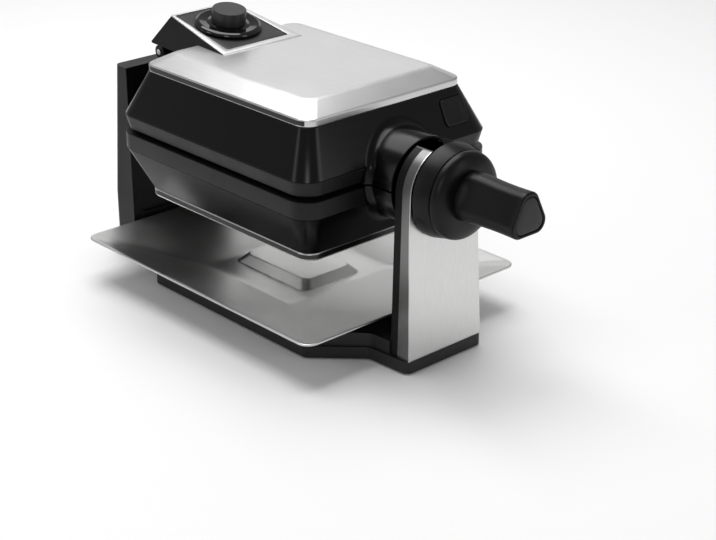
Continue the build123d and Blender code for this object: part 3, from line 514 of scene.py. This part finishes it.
def pad_rings(node, half_x, half_y, radius, depths, steps=8):
    """Rounded squares on the leaning wall at (depth, inset) pairs."""
    middle, outward, up = button_frame(node)
    across = Vector((1, 0, 0))
    loops = []
    for depth, inset in depths:
        x, y = half_x - inset, half_y - inset
        flat = ring(-x, x, -y, y, 0, radius - inset * 0.6, steps)
        loops.append([middle + across * p.x + up * p.y + outward * depth for p in flat])
    return loops


quarter = (pi / 8, pi / 4, 3 * pi / 8, pi / 2)


def release_button(name, node, body, wall_piece):
    """A square pad in a close-fitting opening."""
    half_x, half_y, radius = 12.5 * MM, 11.0 * MM, 4.0 * MM
    gap = 0.55 * MM
    hole = pad_rings(node, half_x + gap, half_y + gap, radius, ((-7 * MM, 0), (6 * MM, 0)))
    carve(wall_piece, *stack(hole, False, True, True))
    proud = 1.2 * MM
    soft = 0.7 * MM
    depths = [(-2.0 * MM, 0), (proud - soft, 0)]
    for a in quarter:
        depths.append((proud - soft * (1 - sin(a)), soft * (1 - cos(a))))
    depths += [(proud - 0.05 * MM, 3.0 * MM), (proud - 0.25 * MM, 5.0 * MM), (proud - 0.3 * MM, 8.0 * MM)]
    verts, faces = stack(pad_rings(node, half_x, half_y, radius, depths), False, True, True)
    finish_mesh(name, verts, faces, button_black, body, (node,))


upper_shell = housing("upper_gloss_housing", band_high.z, house_high.z, gloss_black, "lid",
                      "upper_housing")
lower_shell = housing("lower_gloss_housing", under_band_low.z, under_house_low.z, gloss_under, "lower_unit",
                      "lower_housing")
release_button("upper_push_pad", "upper_release_button", "upper_button", upper_shell)
release_button("lower_push_pad", "lower_release_button", "lower_button", lower_shell)


def side_x(y, z, inset=0.0):
    """Half the control box's width at a place on its leaning sides."""
    return border_half - side_taper * (y - border_front) - side_lean * (z - lid_top - frame_rise) - inset


def steel_cover(name, narrow_z, way, body, node):
    """A pressed steel cover: rolled lip, soft bevel, flat."""
    sheet = 0.9 * MM
    lip = 5.6 * MM
    bevel = 16.8 * MM
    low = narrow_z
    shoulder = narrow_z + way * lip
    top = narrow_z + way * cover_height
    flat = house_inset + bevel
    outer = eased([
        (house_inset + 0.35 * MM, low, lid_corner),
        (house_inset, low + way * 0.6 * MM, lid_corner),
        (house_inset, shoulder, lid_corner),
        (flat, top, lid_corner * 0.8),
        (flat + 20 * MM, top, 8 * MM),
    ], [0, 0.4 * MM, 1.2 * MM, 3.0 * MM, 0], 7)
    rings = [unit_ring(inset, z, corner) for inset, z, corner in outer]
    middle = [(flat + 20 * MM, top - way * sheet, 8 * MM),
              (flat, top - way * sheet, lid_corner * 0.8),
              (house_inset + sheet, shoulder - way * 0.3 * MM, lid_corner),
              (house_inset + sheet, low, lid_corner)]
    inside = [unit_ring(inset, z, corner) for inset, z, corner in middle]
    verts, faces = stack(rings + inside, wrap=True)
    count = len(rings[0])
    last = len(rings) - 1
    faces = [f for f in faces if not (last * count <= f[0] < (last + 1) * count)]
    faces.append(tuple(range(last * count, (last + 1) * count)))
    faces.append(tuple(range((last + 1) * count, (last + 2) * count))[::-1])
    piece = finish_mesh(name, verts, faces, steel_lid, body, (node,))
    piece.data.materials.append(painted_lip_reflection)
    # Painted dark reflection: upright faces on the lid's sides, and all round on the bottom cover, take the dark
    # steel copy.
    for face in piece.data.polygons:
        upright = abs(face.normal.z) < 0.15 and face.area > 0.2 * MM * MM
        if upright and (way < 0 or abs(face.normal.x) > 0.8):
            face.material_index = 1
    return piece


lid = steel_cover("lid_skin", house_high.z, 1, "lid", "upper_cover")
steel_cover("bottom_skin", under_house_low.z, -1, "lower_unit", "lower_cover")


def box_block(front, rear, low, high, inset):
    """A closed block between the control box's leaning sides."""
    loops = []
    for z in (low, high):
        near, far = side_x(front, z, inset), side_x(rear, z, inset)
        corners = ((-near, front, z), (near, front, z), (far, rear, z), (-far, rear, z))
        loops.append([Vector(corner) for corner in corners])
    return stack(loops, False, True, True)


box_room = box_block(border_front - 0.5 * MM, unit_rear + 20 * MM, house_high.z - 5 * MM, lid_top + 8 * MM, 0)
carve(lid, *box_room)


# ---- Control box ----
def on_slope(x, along, lift):
    start = Vector((x, border_front, lid_top + frame_rise))
    return start + slope_along * along + slope_up * lift


slope_length = (border_rear - border_front) / cos(slope)
frame_side = 2.2 * MM
frame_border = 6.0 * MM
top_half = side_x(border_rear, lid_top + frame_rise + slope_length * sin(slope))
panel_front, panel_rear = 32.5 * MM, 30.0 * MM


def slope_ring(near_half, far_half, near, far, corner, lift):
    """A rounded outline on the slope that narrows towards its upper end."""
    loop = []
    for p in ring(-near_half, near_half, near, far, 0, corner, 8):
        share = (p.y - near) / (far - near)
        loop.append(on_slope(p.x * (1 + (far_half / near_half - 1) * share), p.y, lift))
    return loop


def panel_ring(shrink, lift, corner=2.2 * MM):
    return slope_ring(panel_front - shrink, panel_rear - shrink, frame_border + shrink,
                      slope_length - frame_side - shrink, corner, lift)


def border():
    """The lid's raised steel border round the control panel, folded up from the flat."""
    sheet = 1.0 * MM
    loops = []
    for inset, lift in ((0, -sheet), (0, -0.35 * MM), (0.12 * MM, -0.1 * MM), (0.35 * MM, 0)):
        far = slope_length - inset
        loops.append(slope_ring(border_half - inset, top_half - inset, inset, far, 0.8 * MM, lift))
    for shrink, lift in ((-0.5 * MM, 0), (-0.15 * MM, -0.1 * MM), (0, -0.4 * MM), (0, -sheet)):
        loops.append(panel_ring(shrink, lift))
    verts, faces = stack(loops, wrap=True)
    return finish_mesh("panel_border", verts, faces, steel_lid, "lid", ())


def riser():
    """The small fold between the lid's flat and the border."""
    back = 1.4 * MM
    lower = lid_top - 0.9 * MM
    points = eased([(border_front - 3.0 * MM, lid_top + 0.01 * MM),
                    (border_front - 0.9 * MM, lid_top + 0.01 * MM),
                    (border_front + 0.2 * MM, lid_top + frame_rise),
                    (border_front + back, lid_top + frame_rise * 1.2)], 0.8 * MM, 4)
    points += [(border_front + back, lower), (border_front - 3.0 * MM, lower + 0.3 * MM)]
    rings = [[Vector((side * side_x(y, z), y, z)) for y, z in points] for side in (-1, 1)]
    verts, faces = stack(rings, False, True, True)
    return finish_mesh("border_fold", verts, faces, steel_lid, "lid", ())


border()
riser()


def control_walls():
    """The black walls of the control box with rounded rear edges."""
    sheet = 1.05 * MM
    top_front = on_slope(0, 2.0 * MM, -sheet)
    top_rear = on_slope(0, slope_length, -sheet)
    foot = box_low.z
    points = [(top_front.y, foot), (top_front.y, top_front.z), (top_rear.y, top_rear.z),
              (box_high.y, foot + 1.2 * MM), (box_high.y - 1.2 * MM, foot)]
    rings = [[Vector((side * side_x(y, z, 0.1 * MM), y, z)) for y, z in points] for side in (-1, 1)]
    verts, faces = stack(rings, False, True, True)
    piece = finish_mesh("control_walls", verts, faces, box_black, "lid", ("control_box",))
    hollow = 2.5 * MM
    inner = [(top_front.y - 5 * MM, foot + hollow), (top_front.y - 5 * MM, top_front.z - hollow),
             (top_rear.y - 3.2 * MM, top_rear.z - hollow), (box_high.y - 7 * MM, foot + hollow)]
    loops = [[Vector((side * side_x(y, z, hollow), y, z)) for y, z in inner] for side in (-1, 1)]
    carve(piece, *stack(loops, False, True, True))
    carve(piece, *stack([panel_ring(0.4 * MM, lift) for lift in (-9 * MM, 4 * MM)], False, True, True))
    return softened(piece, 0.8 * MM)


control_walls()


def panel():
    """The grained panel, a little below its border."""
    levels = ((0.25, -2.6), (0.25, -0.9), (0.35, -0.65), (0.6, -0.5), (6.0, -0.5))
    loops = [panel_ring(shrink * MM, lift * MM) for shrink, lift in levels]
    verts, faces = stack(loops, False, True, True)
    return finish_mesh("panel_face", verts, faces, panel_grey, "lid", ("control_panel",))


panel()


def knob():
    """A plain round knob on a broad gloss skirt."""
    across = Vector((1, 0, 0))
    skirt_low, skirt_high = 0.6 * MM, 4.8 * MM
    radius = 28.4 * MM
    profile = eased([(0.5 * MM, skirt_low), (radius - 1.0 * MM, skirt_low), (radius, skirt_low + 1.2 * MM),
                     (radius - 1.0 * MM, skirt_high - 1.2 * MM), (radius - 3.2 * MM, skirt_high - 0.2 * MM),
                     (18.0 * MM, skirt_high - 1.6 * MM), (14.9 * MM, skirt_high - 0.8 * MM),
                     (0.5 * MM, skirt_high - 0.8 * MM)],
                    0.8 * MM, 4)
    verts, faces, count = lathe(knob_foot, across, slope_up, profile)
    faces += [tuple(range(count))[::-1], tuple(range((len(profile) - 1) * count, len(profile) * count))]
    finish_mesh("knob_gloss_skirt", verts, faces, gloss_skirt, "knob", ("knob_skirt",))
    top = 15.7 * MM
    cap = eased([(0.5 * MM, skirt_high - 0.7 * MM), (14.6 * MM, skirt_high - 0.7 * MM), (14.3 * MM, top),
                 (12.5 * MM, top), (0.5 * MM, top)], [0, 0.4 * MM, 1.1 * MM, 0.3 * MM, 0], 6)
    verts, faces, count = lathe(knob_foot, across, slope_up, cap)
    faces += [tuple(range(count))[::-1], tuple(range((len(cap) - 1) * count, len(cap) * count))]
    finish_mesh("knob_cap", verts, faces, knob_grey, "knob", ("control_knob",))


knob()


# ---- Trunnions ----
def front_wall_y(height):
    """Where the unit's front stands at a height above the table."""
    top_foot, low_foot = band_high.z, under_band_low.z
    lean = house_inset / (house_high.z - band_high.z)
    return unit_front + max(0.0, height - top_foot, low_foot - height) * lean


def trunnion(name, upper, body, node):
    """Half of the round cup on the unit's front, flared where it meets the wall, with its half journal."""
    radius, wall, flare = 36.0 * MM, 3.5 * MM, 6.0 * MM
    rim = unit_front - 25.0 * MM
    floor = unit_front - 5.0 * MM
    journal = 13.2 * MM
    front = hub_high.y + 0.3 * MM
    gap = 0.8 * MM
    steps = 64
    loops = []
    for step in range(steps + 1):
        turn = pi * step / steps
        profile = [(journal - 4 * MM, front), (journal - 0.6 * MM, front), (journal, front + 0.6 * MM),
                   (journal, floor), (radius - wall, floor), (radius - wall, rim + 0.5 * MM),
                   (radius - wall + 0.5 * MM, rim), (radius - 1.4 * MM, rim),
                   (radius - 0.4 * MM, rim + 0.4 * MM),
                   (radius, rim + 1.4 * MM)]
        for k in range(9):
            bend = pi / 2 * k / 8
            out = radius + flare * (1 - cos(bend))
            height = axis_z + (1 if upper else -1) * out * sin(turn)
            profile.append((out, front_wall_y(height) - flare * (1 - sin(bend)) + 0.05 * MM * bend))
        wall_y = front_wall_y(axis_z + (1 if upper else -1) * (radius + flare) * sin(turn))
        profile += [(radius + flare, wall_y + 1.0 * MM), (radius - 6 * MM, unit_front + 0.9 * MM),
                    (journal - 4 * MM, unit_front + 0.9 * MM)]
        loop = []
        for out, y in profile:
            height = max(out * sin(turn), gap)
            loop.append(Vector((out * cos(turn), y, axis_z + (height if upper else -height))))
        loops.append(loop)
    verts, faces = stack(loops, False, True, True)
    return finish_mesh(name, verts, faces, gloss_boss, body, (node,), sharp=38)


trunnion("upper_cup", True, "lid", "upper_trunnion")
trunnion("lower_cup", False, "lower_unit", "lower_trunnion")


# ---- Handle ----
def grip_radius(angle, side=19.0, apex=20.5, foot=15.5, round_off=9.5):
    """Distance from the handle's axis to its rounded upright triangle, at an angle, in millimetres."""
    corners = [(-side + round_off, -foot + round_off), (side - round_off, -foot + round_off),
               (side * 0.06, apex - round_off), (-side * 0.06, apex - round_off)]
    way = Vector((cos(angle), sin(angle)))
    best = 0.0
    for index, start in enumerate(corners):
        p, q = Vector(start), Vector(corners[(index + 1) % len(corners)])
        edge_dir = (q - p).normalized()
        outward = Vector((edge_dir.y, -edge_dir.x))
        facing = way.dot(outward)
        if facing > 1e-6:
            reach = (p.dot(outward) + round_off) / facing
            along = (way * reach - p).dot(edge_dir)
            if 0 <= along <= (q - p).length:
                best = max(best, reach)
        across = p.dot(way)
        inside = round_off ** 2 - (p.length_squared - across ** 2)
        if inside > 0:
            best = max(best, across + inside ** 0.5)
    return best


def handle():
    """Round root, seam, dome and grip in one flowing form."""
    steps = 128
    angles = [2 * pi * k / steps for k in range(steps)]
    back_radius = hub_high.x / MM
    hub_radius = back_radius - 3.0
    lift = 2.0
    centre = Vector((0, 0, axis_z))

    def loop(y, blend_in, radius, share=1.0):
        """blend_in 0 is the round root and 1 the grip's section."""
        points = []
        for angle in angles:
            length = radius * (1 - blend_in) + grip_radius(angle) * share * blend_in
            rise = sin(angle) * length + lift * blend_in
            points.append(centre + Vector((cos(angle) * length * MM, y, rise * MM)))
        return points

    back = hub_high.y
    seam = back - 15.0 * MM
    rim = [(back, 0, 31.0), (back, 0, back_radius - 1.2), (back - 0.4 * MM, 0, back_radius - 0.4),
           (back - 1.2 * MM, 0, back_radius - 0.1), (seam + 0.5 * MM, 0, hub_radius + 0.1),
           (seam + 0.15 * MM, 0, hub_radius - 0.15), (seam, 0, hub_radius - 0.6), (seam, 0, 29.0)]
    verts, faces = stack([loop(y, b, r) for y, b, r in rim], False, True, True)
    finish_mesh("handle_root", verts, faces, soft_black, "lid", ("handle_hub",))

    front = seam - 0.35 * MM
    end = cad_low.y + 0.1 * MM
    dome = [(front, 0, 29.0), (front, 0, hub_radius - 0.8), (front - 0.2 * MM, 0, hub_radius - 0.3),
            (front - 0.6 * MM, 0, hub_radius - 0.1)]
    dome_depth = 9.5 * MM
    for step in range(1, 15):
        t = step / 14
        # a quarter round that turns over into the grip's root
        radius = hub_radius * (1 - 0.42 * t ** 2.6)
        bulge = dome_depth * sin(t * pi / 2) ** 1.15
        dome.append((front - 0.6 * MM - bulge, min(1.0, t ** 3.2) * 0.55, radius))
    root = dome[-1][0]
    for step in range(1, 9):
        t = step / 8
        dome.append((root - 11.0 * MM * t ** 1.2, 0.55 + 0.45 * sin(t * pi / 2), hub_radius * 0.58))
    grip_root = dome[-1][0]
    loops = [loop(y, b, r) for y, b, r in dome]
    length = grip_root - end
    for step in range(1, 13):
        t = step / 12
        share = 1.0 - 0.05 * t - 0.035 * sin(pi * t)
        loops.append(loop(grip_root - (length - 1.6 * MM) * t, 1.0, 0, share))
    tip = 0.95
    for a in quarter:
        loops.append(loop(end + 1.6 * MM * (1 - sin(a)), 1.0, 0, tip - 0.085 * (1 - cos(a))))
    loops.append(loop(end, 1.0, 0, tip - 0.14))
    loops.append(loop(end + 0.25 * MM, 1.0, 0, tip - 0.155))
    loops.append(loop(end + 1.6 * MM, 1.0, 0, tip - 0.16))
    verts, faces = stack(loops, False, True, True)
    finish_mesh("handle_bar", verts, faces, soft_black, "lid", ("handle_grip",), sharp=50)
    cap = [loop(end + 1.7 * MM, 1.0, 0, tip - 0.2), loop(end + 0.5 * MM, 1.0, 0, tip - 0.2),
           loop(end + 0.15 * MM, 1.0, 0, tip - 0.22), loop(end, 1.0, 0, tip - 0.26),
           loop(end, 1.0, 0, tip - 0.6)]
    verts, faces = stack(cap, False, True, True)
    finish_mesh("handle_end", verts, faces, cap_black, "lid", ("handle_end_cap",))


handle()


# ---- Drip tray ----
def tray():
    """A pressed dish: rolled rim, folded skirts, floor and a raised pad."""
    x1, y0, y1 = tray_high.x, tray_low.y, tray_high.y
    rim_z = tray_high.z
    floor_z = tray_low.z + 0.8 * MM
    sheet = 0.8 * MM
    floor = (55 * MM, unit_front + 73 * MM, unit_front + 180 * MM)
    pad = (31 * MM, unit_front + 82 * MM, unit_front + 172 * MM)
    pad_rise = 7.0 * MM
    pad_z = floor_z + pad_rise
    fold, flat = pad_rise - 1 * MM, pad_rise + 6 * MM
    run = [(x1 - 1.8 * MM, y0 + 1.8 * MM, y1 - 1.8 * MM, rim_z - 1.9 * MM, 9.5 * MM),
           (x1 - 0.4 * MM, y0 + 0.4 * MM, y1 - 0.4 * MM, rim_z - 1.9 * MM, 10.8 * MM),
           (x1, y0, y1, rim_z - 1.3 * MM, 11 * MM),
           (x1, y0, y1, rim_z - 0.5 * MM, 11 * MM),
           (x1 - 0.6 * MM, y0 + 0.6 * MM, y1 - 0.6 * MM, rim_z, 10.6 * MM),
           (x1 - 2.4 * MM, y0 + 2.4 * MM, y1 - 2.4 * MM, rim_z - 0.1 * MM, 9.5 * MM),
           (floor[0], floor[1], floor[2], floor_z, 7 * MM),
           (pad[0] + 1.0 * MM, pad[1] - 1.0 * MM, pad[2] + 1.0 * MM, floor_z, 8 * MM),
           (pad[0] - fold, pad[1] + fold, pad[2] - fold, pad_z, 7 * MM),
           (pad[0] - flat, pad[1] + flat, pad[2] - flat, pad_z, 4 * MM)]
    soft = [0, 0.3 * MM, 0.4 * MM, 0.4 * MM, 0.5 * MM, 0.8 * MM, 9 * MM, 1.0 * MM, 1.2 * MM, 0]
    top = eased(run, soft, 6)
    rings = [ring(-x, x, a, b, z, r, 8) for x, a, b, z, r in top]
    inward = 0.2 * MM
    for x, a, b, z, r in top[-1:len(top) // 3:-1]:
        rings.append(ring(-x + inward, x - inward, a + inward, b - inward, z - sheet, r, 8))
    verts, faces = stack(rings, wrap=True)
    count = len(rings[0])
    inner = len(top) - 1
    faces = [f for f in faces if not (inner * count <= f[0] < (inner + 1) * count)]
    faces.append(tuple(range(inner * count, (inner + 1) * count)))
    faces.append(tuple(range((inner + 1) * count, (inner + 2) * count))[::-1])
    return finish_mesh("tray_dish", verts, faces, steel_tray, "drip_tray", ("drip_tray",), sharp=60)


tray()


# ---- Stage, light and camera ----
def stage():
    mesh = bpy.data.meshes.new("floor")
    size = 4.0
    corners = [(-size, -size, 0), (size, -size, 0), (size, size, 0), (-size, size, 0)]
    mesh.from_pydata(corners, [], [(0, 1, 2, 3)])
    floor = bpy.data.objects.new("floor", mesh)
    bpy.context.scene.collection.objects.link(floor)
    mesh.materials.append(material("floor_paper", (0.9, 0.9, 0.9), 0.6))


def lamp(name, place, target, size, power, size_y=None):
    light = bpy.data.lights.new(name, "AREA")
    light.shape = "RECTANGLE"
    light.size = size
    light.size_y = size_y or size
    light.energy = power
    holder = bpy.data.objects.new(name, light)
    holder.location = place
    holder.rotation_euler = (Vector(target) - Vector(place)).to_track_quat("-Z", "Y").to_euler()
    bpy.context.scene.collection.objects.link(holder)


def lights():
    world = bpy.data.worlds.new("room")
    bpy.context.scene.world = world
    world.use_nodes = True
    back = world.node_tree.nodes["Background"]
    back.inputs["Color"].default_value = (1, 1, 1, 1)
    back.inputs["Strength"].default_value = 0.30
    lamp("overhead", (0.1, 0.5, 1.9), (0, 0, 0.1), 1.6, 37)
    lamp("left_box", (-1.6, 0.5, 0.7), (0, 0, 0.15), 0.4, 2.2, 1.2)
    lamp("front_box", (0.7, -1.6, 0.7), (0, 0, 0.15), 0.5, 2.8, 1.2)
    lamp("back_card", (1.5, 1.7, 0.95), (0, 0, 0.2), 2.2, 3.5, 0.7)
    lamp("corner_strip", (-1.25, -1.4, 0.95), (0, 0, 0.15), 0.5, 4.0, 0.8)


def camera():
    data = bpy.data.cameras.new("camera")
    data.lens = 86.45
    data.sensor_width = 36.0
    data.sensor_fit = "HORIZONTAL"
    holder = bpy.data.objects.new("camera", data)
    holder.location = (-0.8683, -0.98165, 0.6158)
    toward = Vector((0.6177, 0.6734, -0.4062))
    holder.rotation_euler = toward.to_track_quat("-Z", "Y").to_euler()
    bpy.context.scene.collection.objects.link(holder)
    bpy.context.scene.camera = holder


stage()
lights()
camera()
bpy.context.scene.view_settings.view_transform = "Standard"
